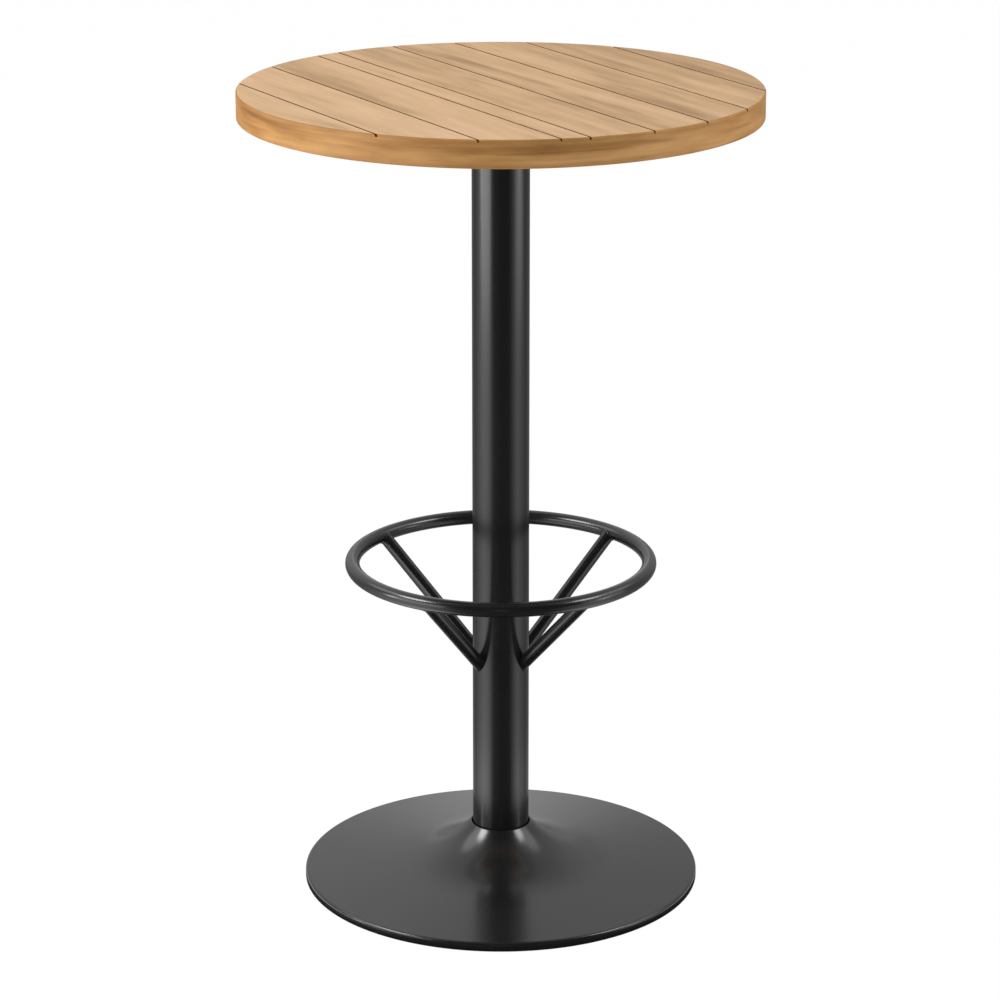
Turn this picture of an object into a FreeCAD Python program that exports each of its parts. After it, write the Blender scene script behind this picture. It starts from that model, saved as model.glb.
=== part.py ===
import FreeCAD, Part
import math
import os
import Sketcher

# Round standing table: teak boards on a rim ring, a steel column with a foot ring, and a weighted
# trumpet base on four levelling glides. Millimetres, +Z up. The origin is on the floor under the
# column's axis, and -Y is the front.

Vector = FreeCAD.Vector
Rotation = FreeCAD.Rotation
Placement = FreeCAD.Placement
UP = Vector(0, 0, 1)

doc = FreeCAD.newDocument("standing_table")
sheet = doc.addObject("Spreadsheet::Sheet", "sizes")

# Driving dimensions: alias, value, what it is.
DIMENSIONS = [
    ("total_height", 1120, "floor to the face of the top"),
    ("top_diameter", 700, "round outline of the top"),
    ("board_thick", 14, "thickness of the boards"),
    ("board_turn", 29.6, "degrees between the boards and the depth axis"),
    ("seam_gap", 2, "open seam between two boards"),
    ("seam_depth", 3.5, "depth of the open seam"),
    ("tongue_thick", 4, "tongue on a board's edge"),
    ("tongue_length", 5, "reach of the tongue"),
    ("tongue_height", 4, "underside of the board to the tongue"),
    ("wood_play", 0.3, "play of a tongue, tenon or batten in the wood"),
    ("edge_break", 2, "eased outer edges of the top"),
    ("rim_thick", 23, "thickness of the rim ring"),
    ("rim_width", 60, "radial width of the rim ring"),
    ("tenon_length", 44, "loose tenon, along the ring"),
    ("tenon_width", 26, "loose tenon, across the ring"),
    ("tenon_thick", 6, "loose tenon, upright"),
    ("batten_thick", 18, "battens under the boards"),
    ("batten_width", 60, "battens under the boards"),
    ("batten_spacing", 150, "between the two battens' middles"),
    ("batten_end_gap", 4, "batten end to rim ring"),
    ("batten_break", 3, "eased lower edges of a batten"),
    ("hole_play", 0.1, "radial play of a bolt or rod in its hole"),
    ("plate_side", 240, "mounting plate, square"),
    ("plate_thick", 6, "mounting plate"),
    ("plate_corner", 24, "corner radius of the mounting plate"),
    ("bolt", 8, "shank diameter of a plate bolt"),
    ("bolt_hole", 9, "holes of the mounting plate"),
    ("bolt_head", 14, "head diameter"),
    ("bolt_head_thick", 4.4, "head height"),
    ("bolt_bite", 13, "reach of a plate bolt into the batten"),
    ("column_diameter", 78, "column tube, outside"),
    ("column_wall", 2.5, "column tube"),
    ("steel_play", 0.3, "play of a spigot or collar in the tube"),
    ("collar_height", 25, "collar under the mounting plate"),
    ("collar_wall", 5, "collar under the mounting plate"),
    ("rod", 12, "tie rod diameter"),
    ("rod_hole", 13, "rod's hole in the mounting plate"),
    ("rod_bite", 22, "reach of the rod into the spigot"),
    ("rod_end", 2.5, "rod end above its nut"),
    ("rod_nut", 19, "tie rod nut across its flats"),
    ("rod_nut_thick", 10, "tie rod nut"),
    ("ring_diameter", 408, "foot ring, to the middle of its bar"),
    ("ring_bar", 20, "foot ring's round bar"),
    ("ring_height", 460, "floor to the middle of the foot ring"),
    ("strut_bar", 18, "struts' round bar"),
    ("strut_rise", 140, "column end to ring end of a strut"),
    ("front_strut_turn", 31, "front struts at the ring, degrees from the front"),
    ("back_strut_turn", 52, "back struts at the ring, degrees from the back"),
    ("strut_foot_turn", 53, "struts at the column, degrees from front or back"),
    ("strut_set_turn", 2.4, "all struts together, degrees to the left at the back"),
    ("strut_sink", 24, "overlength inside the column before coping"),
    ("base_diameter", 550, "base cover"),
    ("ground_gap", 4, "floor to the base plate"),
    ("rim_gap", 1, "floor to the cover's rim"),
    ("base_plate_thick", 6, "base plate"),
    ("cover_thick", 2.5, "sheet of the base cover"),
    ("cover_break", 1.8, "eased upper corner of the cover's rim"),
    ("cover_seat", 0.3, "base plate to the cover"),
    ("neck_height", 78, "floor to the lip of the cover's neck"),
    ("neck_gap", 1, "open seam between the neck and the column"),
    ("neck_slope", 50, "degrees between the cover's lip and the floor"),
    ("flare_radius", 150, "trumpet curve of the cover"),
    ("ballast_inset", 50, "middle of a glide to the ballast ring"),
    ("ballast_bore", 92, "ballast ring"),
    ("ballast_thick", 8, "ballast ring"),
    ("spigot_height", 30, "turned spigot in the column's foot"),
    ("spigot_chamfer", 2, "lead-in of the spigot"),
    ("glide_inset", 85, "edge of the base to the middle of a glide"),
    ("glide_turn", 45, "first glide, degrees from the right"),
    ("glide_pad", 34, "pad diameter"),
    ("pad_play", 0.3, "pad to the base plate, screwed right in"),
    ("glide_stud", 8, "stud diameter"),
    ("glide_stud_rise", 11, "stud above its pad"),
    ("glide_play", 0.3, "radial play of the stud in its hole"),
    ("boss_diameter", 18, "threaded boss on the base plate"),
    ("boss_height", 5, "threaded boss on the base plate"),
    ("overrun", 5, "how far a cutting shape passes the piece"),
]

for row, (alias, value, note) in enumerate(DIMENSIONS, start=1):
    sheet.set(f"A{row}", alias)
    sheet.set(f"B{row}", str(value))
    sheet.setAlias(f"B{row}", alias)
    sheet.set(f"C{row}", note)
doc.recompute()


class Size:
    """A length that carries the sheet expression it comes from."""

    def __init__(self, value, text):
        self.value = value
        self.text = text

    def __add__(self, other):
        other = as_size(other)
        return Size(self.value + other.value, f"({self.text} + {other.text})")

    def __sub__(self, other):
        other = as_size(other)
        return Size(self.value - other.value, f"({self.text} - {other.text})")

    def __mul__(self, factor):
        factor = as_size(factor)
        return Size(self.value * factor.value, f"({self.text} * {factor.text})")

    def __truediv__(self, divisor):
        divisor = as_size(divisor)
        return Size(self.value / divisor.value, f"({self.text} / {divisor.text})")

    def __neg__(self):
        return Size(-self.value, f"(-{self.text})")


def as_size(number):
    return number if isinstance(number, Size) else Size(number, repr(number))


def root(area):
    return Size(math.sqrt(area.value), f"sqrt({area.text})")


def sine(degrees):
    return Size(math.sin(math.radians(degrees.value)), f"sin({degrees.text})")


def cosine(degrees):
    return Size(math.cos(math.radians(degrees.value)), f"cos({degrees.text})")


D = {alias: Size(float(sheet.get(alias)), f"sizes.{alias}") for alias, value, note in DIMENSIONS}
ZERO = Size(0.0, "0")

# Levels and radii that several pieces share.
top_radius = D["top_diameter"] / 2
board_bottom = D["total_height"] - D["board_thick"]
rim_bottom = board_bottom - D["rim_thick"]
rim_inner = top_radius - D["rim_width"]
plate_top = board_bottom - D["batten_thick"]
plate_bottom = plate_top - D["plate_thick"]
column_radius = D["column_diameter"] / 2
column_bore = column_radius - D["column_wall"]
base_plate_top = D["ground_gap"] + D["base_plate_thick"]
neck_radius = column_radius + D["neck_gap"] + D["cover_thick"] * sine(D["neck_slope"])
base_radius = D["base_diameter"] / 2
cover_top = base_plate_top + D["cover_seat"] + D["cover_thick"]
ring_radius = D["ring_diameter"] / 2
spigot_top = base_plate_top + D["spigot_height"]
glide_radius = base_radius - D["glide_inset"]
pad_thick = D["ground_gap"] - D["pad_play"]

board_frame = Rotation(UP, D["board_turn"].value)

nodes = []


def keep(obj, label):
    """Give a finished sub-part its name and put it on the list that is written out."""
    obj.Label = label
    nodes.append(obj)
    return obj


def bind(obj, **sizes):
    for name, size in sizes.items():
        obj.setExpression(name, size.text)


def level(height):
    return Placement(Vector(0, 0, height.value), Rotation())


def new_body(name):
    return doc.addObject("PartDesign::Body", name)


def new_sketch(body, role, height=None):
    """A sketch on one of the body's own origin planes, moved along its normal if asked."""
    sketch = body.newObject("Sketcher::SketchObject", f"{body.Name}_sketch")
    plane = next(feature for feature in body.Origin.OriginFeatures if feature.Role == role)
    sketch.AttachmentSupport = [(plane, "")]
    sketch.MapMode = "FlatFace"
    if height is not None:
        sketch.setExpression("AttachmentOffset.Base.z", height.text)
    return sketch


def pin_point(sketch, geometry, point, x, y):
    """Hold one point of the sketch at x, y from the origin."""
    for kind, size, axis in (("DistanceX", x, -2), ("DistanceY", y, -1)):
        if size.value == 0:
            sketch.addConstraint(Sketcher.Constraint("PointOnObject", geometry, point, axis))
            continue
        if size.value > 0:
            constraint = Sketcher.Constraint(kind, -1, 1, geometry, point, size.value)
            text = size.text
        else:
            constraint = Sketcher.Constraint(kind, geometry, point, -1, 1, -size.value)
            text = (-size).text
        index = sketch.addConstraint(constraint)
        sketch.setExpression(f"Constraints[{index}]", text)


def add_outline(sketch, points):
    """A closed run of straight lines through the given corners."""
    corners = [Vector(x.value, y.value, 0) for x, y in points]
    lines = [sketch.addGeometry(Part.LineSegment(start, end), False)
             for start, end in zip(corners, corners[1:] + corners[:1])]
    for line, following in zip(lines, lines[1:] + lines[:1]):
        sketch.addConstraint(Sketcher.Constraint("Coincident", line, 2, following, 1))
    for line, (x, y) in zip(lines, points):
        pin_point(sketch, line, 1, x, y)
    return lines


def add_circle(sketch, radius, x=ZERO, y=ZERO):
    circle = Part.Circle(Vector(x.value, y.value, 0), UP, radius.value)
    geometry = sketch.addGeometry(circle, False)
    pin_point(sketch, geometry, 3, x, y)
    index = sketch.addConstraint(Sketcher.Constraint("Radius", geometry, radius.value))
    sketch.setExpression(f"Constraints[{index}]", radius.text)
    return geometry


def rectangle(half_x, low_y, high_y):
    return [(-half_x, low_y), (half_x, low_y), (half_x, high_y), (-half_x, high_y)]


def pad(body, sketch, length):
    feature = body.newObject("PartDesign::Pad", f"{body.Name}_pad")
    feature.Profile = sketch
    bind(feature, Length=length)
    return feature


def pocket_up(body, sketch, depth):
    """Cut from the sketch towards +Z, and make sure that something was cut."""
    before = body.Shape.Volume
    feature = body.newObject("PartDesign::Pocket", f"{body.Name}_pocket")
    feature.Profile = sketch
    feature.Reversed = True
    bind(feature, Length=depth)
    doc.recompute()
    if body.Shape.Volume >= before:
        raise RuntimeError(f"{feature.Name} cuts nothing")
    return feature


def revolve(body, sketch):
    feature = body.newObject("PartDesign::Revolution", f"{body.Name}_revolution")
    feature.Profile = sketch
    feature.ReferenceAxis = (sketch, ["V_Axis"])
    feature.Angle = 360
    return feature


def edges_where(body, chosen):
    """The body's last feature and the names of its edges for which chosen(edge) is true."""
    doc.recompute()
    base = body.Tip
    return base, [f"Edge{number}" for number, edge in enumerate(base.Shape.Edges, start=1) if chosen(edge)]


def round_edges(body, chosen, radius):
    picked = edges_where(body, chosen)
    feature = body.newObject("PartDesign::Fillet", f"{body.Name}_fillet")
    feature.Base = picked
    bind(feature, Radius=radius)


def break_edges(body, chosen, size):
    picked = edges_where(body, chosen)
    feature = body.newObject("PartDesign::Chamfer", f"{body.Name}_chamfer")
    feature.Base = picked
    bind(feature, Size=size)


def circle_edge(radius, height):
    """Test for a full circle of this radius at this height in the body's own frame."""
    def chosen(edge):
        if not isinstance(edge.Curve, Part.Circle):
            return False
        same_radius = math.isclose(edge.Curve.Radius, radius.value, rel_tol=1e-6)
        same_height = math.isclose(edge.Curve.Center.z, height.value, abs_tol=1e-6)
        return same_radius and same_height
    return chosen


def cylinder(name, radius, height, place):
    obj = doc.addObject("Part::Cylinder", name)
    bind(obj, Radius=radius, Height=height)
    obj.Placement = place
    return obj


def combine(kind, name, base, tool):
    obj = doc.addObject(kind, name)
    obj.Base = base
    obj.Tool = tool
    return obj


def group(name, members):
    obj = doc.addObject("Part::Compound", name)
    obj.Links = members
    return keep(obj, name)


def tube(name, outer, inner, height, place):
    body = new_body(name)
    sketch = new_sketch(body, "XY_Plane")
    add_circle(sketch, outer)
    add_circle(sketch, inner)
    pad(body, sketch, height)
    body.Placement = place
    return body


def turned(name, points, place):
    """A solid of revolution about Z through the given radius and height pairs."""
    body = new_body(name)
    sketch = new_sketch(body, "XZ_Plane")
    add_outline(sketch, points)
    revolve(body, sketch)
    body.Placement = place
    return body


# The top. Positions across the boards are measured along the boards' own frame, in which a board
# runs along Y.

# Seams between the boards, from left to right, as shares of the top's radius. The narrow closing
# board lies left of the middle.
seam_shares = (-0.8260, -0.5617, -0.2974, -0.1934, 0.0620, 0.3174, 0.5729, 0.8283)
seams = [top_radius * share for share in seam_shares]
batten_middle = D["batten_spacing"] / 2


def board_outline(left, right):
    """Section of a board: an open seam above, a tongue on the right and its groove on the left."""
    seam_low = D["board_thick"] - D["seam_depth"]
    tongue_low = D["tongue_height"]
    tongue_high = D["tongue_height"] + D["tongue_thick"]
    play = D["wood_play"]
    half_gap = D["seam_gap"] / 2
    if left is None:
        left_side = [(-top_radius - D["overrun"], D["board_thick"]), (-top_radius - D["overrun"], ZERO)]
    else:
        groove_end = left + D["tongue_length"] + play
        left_side = [
            (left + half_gap, D["board_thick"]),
            (left + half_gap, seam_low),
            (left, seam_low),
            (left, tongue_high + play),
            (groove_end, tongue_high + play),
            (groove_end, tongue_low - play),
            (left, tongue_low - play),
            (left, ZERO),
        ]
    if right is None:
        right_side = [(top_radius + D["overrun"], ZERO), (top_radius + D["overrun"], D["board_thick"])]
    else:
        right_side = [
            (right, ZERO),
            (right, tongue_low),
            (right + D["tongue_length"], tongue_low),
            (right + D["tongue_length"], tongue_high),
            (right, tongue_high),
            (right, seam_low),
            (right - half_gap, seam_low),
            (right - half_gap, D["board_thick"]),
        ]
    return left_side + right_side


def make_round_blank():
    """The disc that all boards are cut from."""
    body = new_body("round_blank")
    sketch = new_sketch(body, "XY_Plane")
    add_circle(sketch, top_radius)
    pad(body, sketch, D["board_thick"])
    break_edges(body, circle_edge(top_radius, D["board_thick"]), D["edge_break"])
    body.Placement = Placement(Vector(0, 0, board_bottom.value), board_frame)
    return body


def make_boards():
    blank = make_round_blank()
    edges = [None] + seams + [None]
    for number, (left, right) in enumerate(zip(edges, edges[1:]), start=1):
        strip = new_body(f"strip_{number}")
        length = D["top_diameter"] + D["overrun"] * 2
        # The plane's normal is -Y, so the sketch starts at the far end of the board.
        sketch = new_sketch(strip, "XZ_Plane", -length / 2)
        add_outline(sketch, board_outline(left, right))
        pad(strip, sketch, length)
        strip.Placement = Placement(Vector(0, 0, board_bottom.value), board_frame)
        keep(combine("Part::Common", f"board_{number}", strip, blank), f"slat_{number}")


rim_joints = 6


def tenon_box(name, length, width, thick, turn):
    """A box across the rim joint at this turn, in the middle of the ring's section."""
    box = doc.addObject("Part::Box", name)
    bind(box, Length=width, Width=length, Height=thick)
    middle = rim_inner + D["rim_width"] / 2
    corner = Vector((middle - width / 2).value, (-length / 2).value, 0)
    height = rim_bottom + D["rim_thick"] / 2 - thick / 2
    turned_corner = Rotation(UP, turn).multVec(corner) + Vector(0, 0, height.value)
    box.Placement = Placement(turned_corner, Rotation(UP, turn))
    return box


def make_rim():
    ring = new_body("rim_blank")
    sketch = new_sketch(ring, "XY_Plane")
    add_circle(sketch, top_radius)
    add_circle(sketch, rim_inner)
    pad(ring, sketch, D["rim_thick"])
    break_edges(ring, circle_edge(top_radius, ZERO), D["edge_break"])
    ring.Placement = level(rim_bottom)
    turn_step = 360 / rim_joints
    turns = [number * turn_step + D["board_turn"].value for number in range(rim_joints)]
    play = D["wood_play"] * 2
    slots = doc.addObject("Part::MultiFuse", "tenon_slots")
    slots.Shapes = [
        tenon_box(f"tenon_slot_{number}", D["tenon_length"] + play, D["tenon_width"] + play,
                  D["tenon_thick"] + play, turn)
        for number, turn in enumerate(turns, start=1)
    ]
    slotted = combine("Part::Cut", "slotted_rim", ring, slots)
    for number, turn in enumerate(turns, start=1):
        wedge = cylinder(f"wedge_{number}", top_radius + D["overrun"], D["rim_thick"],
                         Placement(Vector(0, 0, rim_bottom.value), Rotation(UP, turn)))
        wedge.Angle = turn_step
        keep(combine("Part::Common", f"segment_{number}", slotted, wedge), f"rim_segment_{number}")
    group("rim_tenons", [
        tenon_box(f"tenon_{number}", D["tenon_length"], D["tenon_width"], D["tenon_thick"], turn)
        for number, turn in enumerate(turns, start=1)
    ])


def make_batten(label, side):
    """A batten across the boards, with blind holes for two of the plate's bolts."""
    body = new_body(f"{label}_body")
    outer = batten_middle + D["batten_width"] / 2
    half_length = root(rim_inner * rim_inner - outer * outer) - D["batten_end_gap"]
    sketch = new_sketch(body, "XY_Plane")
    half_width = D["batten_width"] / 2
    add_outline(sketch, rectangle(half_length, -half_width, half_width))
    pad(body, sketch, D["batten_thick"])

    def long_lower_edge(edge):
        ends = [vertex.Point for vertex in edge.Vertexes]
        low = all(abs(end.z) < 1e-6 for end in ends)
        return low and abs(ends[0].x - ends[-1].x) > D["batten_width"].value

    break_edges(body, long_lower_edge, D["batten_break"])
    doc.recompute()
    holes = new_sketch(body, "XY_Plane")
    for x in (-batten_middle, batten_middle):
        add_circle(holes, D["bolt"] / 2 + D["hole_play"], x)
    pocket_up(body, holes, D["bolt_bite"] + D["hole_play"])
    middle = board_frame.multVec(Vector(0, batten_middle.value * side, 0))
    body.Placement = Placement(middle + Vector(0, 0, plate_top.value), board_frame)
    return keep(body, label)


def on_board_frame(x, y, z):
    return Placement(board_frame.multVec(Vector(x.value, y.value, 0)) + Vector(0, 0, z.value), board_frame)


# The mounting plate and what holds it.

bolt_places = [(x, y) for x in (-batten_middle, batten_middle) for y in (-batten_middle, batten_middle)]


def make_top_plate():
    body = new_body("top_plate_body")
    sketch = new_sketch(body, "XY_Plane")
    half_side = D["plate_side"] / 2
    add_outline(sketch, rectangle(half_side, -half_side, half_side))
    pad(body, sketch, D["plate_thick"])

    def upright(edge):
        ends = [vertex.Point for vertex in edge.Vertexes]
        return abs(ends[0].z - ends[-1].z) > D["plate_thick"].value / 2

    round_edges(body, upright, D["plate_corner"])
    doc.recompute()
    holes = new_sketch(body, "XY_Plane")
    add_circle(holes, D["rod_hole"] / 2)
    for x, y in bolt_places:
        add_circle(holes, D["bolt_hole"] / 2, x, y)
    pocket_up(body, holes, D["plate_thick"])
    body.Placement = Placement(Vector(0, 0, plate_bottom.value), board_frame)
    keep(body, "top_plate")


def make_plate_bolts():
    outline = [
        (ZERO, -D["bolt_head_thick"]),
        (D["bolt_head"] / 2, -D["bolt_head_thick"]),
        (D["bolt_head"] / 2, ZERO),
        (D["bolt"] / 2, ZERO),
        (D["bolt"] / 2, D["plate_thick"] + D["bolt_bite"]),
        (ZERO, D["plate_thick"] + D["bolt_bite"]),
    ]
    group("plate_bolts", [
        turned(f"plate_bolt_{number}", outline, on_board_frame(x, y, plate_bottom))
        for number, (x, y) in enumerate(bolt_places, start=1)
    ])


# The column and the tie rod that clamps it.

def make_column():
    keep(tube("column_body", column_radius, column_bore, plate_bottom - base_plate_top,
              level(base_plate_top)), "column_tube")
    collar_radius = column_bore - D["steel_play"]
    keep(tube("collar_body", collar_radius, collar_radius - D["collar_wall"], D["collar_height"],
              level(plate_bottom - D["collar_height"])), "plate_collar")


def make_tie_rod():
    rod_bottom = spigot_top - D["rod_bite"]
    rod_top = plate_top + D["rod_nut_thick"] + D["rod_end"]
    keep(cylinder("rod_body", D["rod"] / 2, rod_top - rod_bottom, level(rod_bottom)), "tie_rod")
    hexagon = doc.addObject("Part::Prism", "rod_nut_hexagon")
    hexagon.Polygon = 6
    bind(hexagon, Circumradius=D["rod_nut"] / math.sqrt(3), Height=D["rod_nut_thick"])
    hexagon.Placement = level(plate_top)
    bore = cylinder("rod_nut_bore", D["rod"] / 2 + D["hole_play"], D["rod_nut_thick"], level(plate_top))
    keep(combine("Part::Cut", "rod_nut_body", hexagon, bore), "tie_rod_nut")


# The foot ring and its struts.

def make_foot_ring():
    ring = doc.addObject("Part::Torus", "ring_body")
    bind(ring, Radius1=ring_radius, Radius2=D["ring_bar"] / 2)
    ring.Placement = level(D["ring_height"])
    return keep(ring, "foot_ring")


def make_struts(ring):
    """Four slanting bars, coped to the ring's bar above and to the column below."""
    core = cylinder("column_core", column_radius, D["total_height"], level(ZERO))
    foot_height = D["ring_height"] - D["strut_rise"]
    places = [
        ("strut_front_left", -1, -1, D["front_strut_turn"]),
        ("strut_front_right", 1, -1, D["front_strut_turn"]),
        ("strut_back_left", -1, 1, D["back_strut_turn"]),
        ("strut_back_right", 1, 1, D["back_strut_turn"]),
    ]
    set_turn = Rotation(UP, D["strut_set_turn"].value)

    def end_point(side, depth, turn, radius, height):
        angle = math.radians(turn.value)
        outward = set_turn.multVec(Vector(side * math.sin(angle), depth * math.cos(angle), 0))
        return outward * radius.value + UP * height.value

    for label, side, depth, turn in places:
        head = end_point(side, depth, turn, ring_radius, D["ring_height"])
        foot = end_point(side, depth, D["strut_foot_turn"], column_radius, foot_height)
        direction = (head - foot).normalize()
        start = foot - direction * D["strut_sink"].value
        bar = doc.addObject("Part::Cylinder", f"{label}_bar")
        bind(bar, Radius=D["strut_bar"] / 2)
        bar.Height = (head - start).Length
        bar.Placement = Placement(start, Rotation(UP, direction))
        coped = combine("Part::Cut", f"{label}_coped", bar, core)
        keep(combine("Part::Cut", f"{label}_body", coped, ring), label)


# The base.

def make_base_cover():
    """A spun sheet: slanting lip, trumpet curve, shallow cone and upright rim with an eased corner."""
    body = new_body("cover_body")
    sketch = new_sketch(body, "XZ_Plane")
    lip_x, lip_y = sine(D["neck_slope"]), cosine(D["neck_slope"])
    centre_x = neck_radius + D["flare_radius"] * lip_x
    centre_y = D["neck_height"] + D["flare_radius"] * lip_y
    inner_lip_x = neck_radius - D["cover_thick"] * lip_x
    inner_lip_y = D["neck_height"] - D["cover_thick"] * lip_y
    sheet_thick = D["cover_thick"].value
    flare = D["flare_radius"].value
    # Slope of the cone that runs from the rim's upper corner to touch the trumpet's circle.
    across = base_radius.value - centre_x.value
    down = centre_y.value - cover_top.value
    slope = math.atan2(down, across) - math.asin(flare / math.hypot(across, down))
    normal = Vector(math.sin(slope), math.cos(slope), 0)
    flare_centre = Vector(centre_x.value, centre_y.value, 0)
    flare_end = flare_centre - normal * flare
    rim_top = Vector(base_radius.value, cover_top.value, 0)
    rim_low = Vector(base_radius.value, D["rim_gap"].value, 0)
    inner_low = rim_low - Vector(sheet_thick, 0, 0)
    inner_flare_end = flare_end - normal * sheet_thick
    along = (inner_low.x - inner_flare_end.x) / normal.y
    inner_corner = inner_flare_end + Vector(normal.y, -normal.x, 0) * along
    lip = Vector(neck_radius.value, D["neck_height"].value, 0)
    inner_lip = Vector(inner_lip_x.value, inner_lip_y.value, 0)
    lip_angle = 1.5 * math.pi - math.radians(D["neck_slope"].value)

    def flare_arc(radius):
        circle = Part.Circle(flare_centre, UP, radius)
        return sketch.addGeometry(Part.ArcOfCircle(circle, lip_angle, 1.5 * math.pi - slope), False)

    def line(start, end):
        return sketch.addGeometry(Part.LineSegment(start, end), False)

    outer_arc = flare_arc(flare)
    cone = line(flare_end, rim_top)
    rim = line(rim_top, rim_low)
    foot = line(rim_low, inner_low)
    inner_rim = line(inner_low, inner_corner)
    inner_cone = line(inner_corner, inner_flare_end)
    inner_arc = flare_arc(flare + sheet_thick)
    lip_line = line(inner_lip, lip)
    for kind, ends in (
        ("Tangent", (outer_arc, 2, cone, 1)),
        ("Coincident", (cone, 2, rim, 1)),
        ("Coincident", (rim, 2, foot, 1)),
        ("Coincident", (foot, 2, inner_rim, 1)),
        ("Coincident", (inner_rim, 2, inner_cone, 1)),
        ("Tangent", (inner_cone, 2, inner_arc, 2)),
        ("Coincident", (inner_arc, 1, lip_line, 1)),
        ("Coincident", (lip_line, 2, outer_arc, 1)),
        ("Coincident", (outer_arc, 3, inner_arc, 3)),
        ("Parallel", (cone, inner_cone)),
        ("Vertical", (rim,)),
        ("Vertical", (inner_rim,)),
        ("Horizontal", (foot,)),
    ):
        sketch.addConstraint(Sketcher.Constraint(kind, *ends))
    pin_point(sketch, outer_arc, 3, centre_x, centre_y)
    pin_point(sketch, lip_line, 2, neck_radius, D["neck_height"])
    pin_point(sketch, lip_line, 1, inner_lip_x, inner_lip_y)
    pin_point(sketch, rim, 2, base_radius, D["rim_gap"])
    for kind, geometry, point, size in (
        ("DistanceY", rim, 1, cover_top),
        ("DistanceX", foot, 2, base_radius - D["cover_thick"]),
    ):
        index = sketch.addConstraint(Sketcher.Constraint(kind, -1, 1, geometry, point, size.value))
        sketch.setExpression(f"Constraints[{index}]", size.text)
    revolve(body, sketch)
    break_edges(body, circle_edge(base_radius, cover_top), D["cover_break"])
    keep(body, "base_cover")


def glide_angles():
    return [D["glide_turn"].value + 90 * number for number in range(4)]


def on_glide_circle(turn, z):
    spot = Rotation(UP, turn).multVec(Vector(glide_radius.value, 0, 0))
    return Placement(spot + Vector(0, 0, z.value), Rotation(UP, turn))


def make_base_plate():
    """Disc with four holes for the glides."""
    body = new_body("base_plate_body")
    sketch = new_sketch(body, "XY_Plane")
    add_circle(sketch, base_radius - D["cover_thick"] - D["cover_seat"])
    pad(body, sketch, D["base_plate_thick"])
    doc.recompute()
    glide_hole = new_sketch(body, "XY_Plane")
    glide_x = glide_radius * cosine(D["glide_turn"])
    glide_y = glide_radius * sine(D["glide_turn"])
    add_circle(glide_hole, D["glide_stud"] / 2 + D["glide_play"], glide_x, glide_y)
    cut = pocket_up(body, glide_hole, D["base_plate_thick"])
    pattern = body.newObject("PartDesign::PolarPattern", "glide_holes")
    pattern.Originals = [cut]
    pattern.Axis = (glide_hole, ["N_Axis"])
    pattern.Angle = 360
    pattern.Occurrences = 4
    body.Tip = pattern
    body.Placement = level(D["ground_gap"])
    keep(body, "base_plate")


def make_spigot():
    """Turned disc in the column's foot, welded on the base plate and tapped for the tie rod."""
    radius = column_bore - D["steel_play"]
    bore = D["rod"] / 2 + D["hole_play"]
    floor = D["spigot_height"] - D["rod_bite"] - D["hole_play"]
    outline = [
        (ZERO, ZERO),
        (radius, ZERO),
        (radius, D["spigot_height"] - D["spigot_chamfer"]),
        (radius - D["spigot_chamfer"], D["spigot_height"]),
        (bore, D["spigot_height"]),
        (bore, floor),
        (ZERO, floor),
    ]
    keep(turned("spigot_body", outline, level(base_plate_top)), "column_spigot")


def make_ballast():
    keep(tube("ballast_body", glide_radius - D["ballast_inset"], D["ballast_bore"] / 2,
              D["ballast_thick"], level(base_plate_top)), "ballast_ring")


def make_glides():
    """Pads and studs that screw into bosses on the base plate."""
    hole = D["glide_stud"] / 2 + D["glide_play"]
    angles = glide_angles()
    group("glide_bosses", [
        tube(f"boss_{number}", D["boss_diameter"] / 2, hole, D["boss_height"],
             on_glide_circle(turn, base_plate_top))
        for number, turn in enumerate(angles, start=1)
    ])
    corners = ("back_right", "back_left", "front_left", "front_right")
    for corner, turn in zip(corners, angles):
        keep(cylinder(f"pad_{corner}", D["glide_pad"] / 2, pad_thick, on_glide_circle(turn, ZERO)),
             f"glide_pad_{corner}")
        keep(cylinder(f"stud_{corner}", D["glide_stud"] / 2, D["glide_stud_rise"],
                      on_glide_circle(turn, pad_thick)),
             f"glide_stud_{corner}")


make_boards()
make_rim()
make_batten("batten_front", -1)
make_batten("batten_back", 1)
make_top_plate()
make_plate_bolts()
make_column()
make_tie_rod()
make_struts(make_foot_ring())
make_base_cover()
make_base_plate()
make_spigot()
make_ballast()
make_glides()
doc.recompute()

for obj in doc.Objects:
    if "Invalid" in obj.State or "Error" in obj.State:
        raise RuntimeError(f"{obj.Name} is {obj.State}")
for node in nodes:
    if node.Shape.isNull() or not node.Shape.isValid() or not node.Shape.Solids:
        raise RuntimeError(f"{node.Label} has no valid solid")

os.makedirs("parts", exist_ok=True)
for node in nodes:
    node.Shape.exportStep(f"parts/{node.Label}.step")
print(len(nodes), "nodes written")
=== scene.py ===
import math

import bmesh
import bpy
from mathutils import Matrix, Vector


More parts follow.
